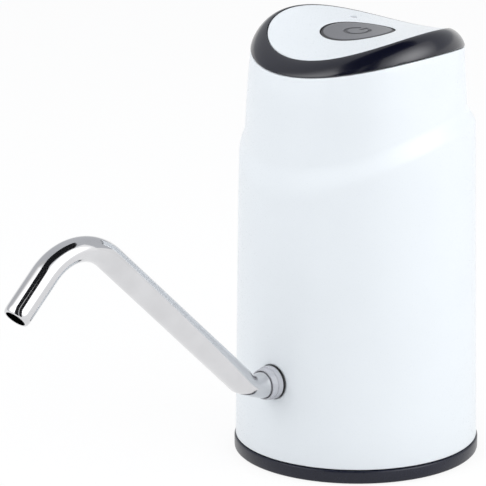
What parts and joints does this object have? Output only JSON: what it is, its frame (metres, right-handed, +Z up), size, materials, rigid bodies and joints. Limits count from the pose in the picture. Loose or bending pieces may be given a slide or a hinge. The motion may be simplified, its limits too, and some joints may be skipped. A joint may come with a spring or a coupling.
{
  "type": "bottled water pump",
  "caption": "Rechargeable pump that sits on a large water bottle's neck: round white body, saddle top with a press button, and a bent steel spout low on the front.",
  "frame": {"origin": "centre of the bounding box's underside, on the plane that the pump stands on", "axes": "+Z up along the round body, -Y towards the spout's mouth, +X to the right seen from the front"},
  "size_m": [0.078, 0.1858, 0.1394],
  "materials": {
    "white_shell": "satin gloss, faintly cool white",
    "dark_gloss": "gloss, near black",
    "grey_button": "satin metallic grey",
    "clear_pipe": "clear, polished",
    "steel": "polished stainless",
    "grey_plastic": "light grey, satin",
    "black_rubber": "matte",
    "silicone": "milky, soft",
    "black_plastic": "fine grain",
    "white_plastic": "natural moulding",
    "zinc_steel": "zinc plated",
    "brass": "bare",
    "magnet": "dark ferrite",
    "copper": "enamelled copper",
    "battery_wrap": "blue plastic sleeve",
    "board_green": "green lacquer",
    "wire_red": "red insulation",
    "wire_black": "black insulation"
  },
  "bodies": {
    "pump": {"base_cup": "dark_gloss", "base_screw_1": "zinc_steel", "base_screw_2": "zinc_steel", "base_screw_3": "zinc_steel", "battery_cell": "battery_wrap", "battery_tab_minus": "zinc_steel", "battery_tab_plus": "zinc_steel", "battery_wire_black": "wire_black", "battery_wire_red": "wire_red", "board_screw_1": "zinc_steel", "board_screw_2": "zinc_steel", "chassis": "white_plastic", "chassis_screw_1": "zinc_steel", "chassis_screw_2": "zinc_steel", "control_board": "board_green", "control_chip": "black_plastic", "housing_shell": "white_shell", "idler_shaft": "steel", "inlet_tube": "silicone", "intake_nipple": "white_plastic", "light_pipe": "clear_pipe", "motor_can": "zinc_steel", "motor_end_bell": "black_plastic", "motor_magnet_1": "magnet", "motor_magnet_2": "magnet", "motor_screw_1": "zinc_steel", "motor_screw_2": "zinc_steel", "motor_terminal_1": "brass", "motor_terminal_2": "brass", "motor_wire_black": "wire_black", "motor_wire_red": "wire_red", "neck_seal": "silicone", "outlet_socket": "white_plastic", "outlet_tube": "silicone", "pump_body": "black_plastic", "pump_cover": "white_plastic", "pump_screw_1": "zinc_steel", "pump_screw_2": "zinc_steel", "pump_screw_3": "zinc_steel", "pump_screw_4": "zinc_steel", "shaft_seal": "black_rubber", "status_light": "clear_pipe", "switch_body": "black_plastic", "top_cover": "white_shell", "trim_band": "dark_gloss", "usb_socket": "zinc_steel"},
    "spout_seals": {"spout_gasket": "black_rubber", "spout_o_ring": "black_rubber"},
    "spout": {"spout_tube": "steel", "spout_collar": "grey_plastic"},
    "button": {"button_cap": "grey_button"},
    "plunger": {"switch_plunger": "white_plastic"},
    "rotor": {"motor_rotor": "copper", "motor_shaft": "steel", "motor_commutator": "brass", "drive_gear": "white_plastic"},
    "idler": {"idler_gear": "white_plastic"}
  },
  "joints": [
    {"name": "spout_turn", "type": "hinge", "parent": "pump", "child": "spout_seals", "pos_m": [0, 0.016, 0.0299], "axis": [0, -1, 0], "range_deg": [-90, 90]},
    {"name": "spout_pull", "type": "slide", "parent": "spout_seals", "child": "spout", "axis": [0, -1, 0], "range_m": [0, 0.016]},
    {"name": "button_press", "type": "slide", "parent": "pump", "child": "button", "axis": [0, 0, -1], "range_m": [0, 0.0007], "stiffness_N_per_m": 800, "springref_m": -0.0003},
    {"name": "plunger_press", "type": "slide", "parent": "pump", "child": "plunger", "axis": [0, 0, -1], "range_m": [0, 0.0003]},
    {"name": "rotor_spin", "type": "hinge", "parent": "pump", "child": "rotor", "pos_m": [-0.00505, 0.04844, 0.0543], "axis": [0, 0, 1], "continuous": true},
    {"name": "idler_spin", "type": "hinge", "parent": "pump", "child": "idler", "pos_m": [0.00505, 0.04844, 0.0543], "axis": [0, 0, 1], "continuous": true}
  ],
  "couplings": [
    {"joint": "plunger_press", "follows": "button_press", "ratio": 0.42857},
    {"joint": "idler_spin", "follows": "rotor_spin", "ratio": -1}
  ]
}
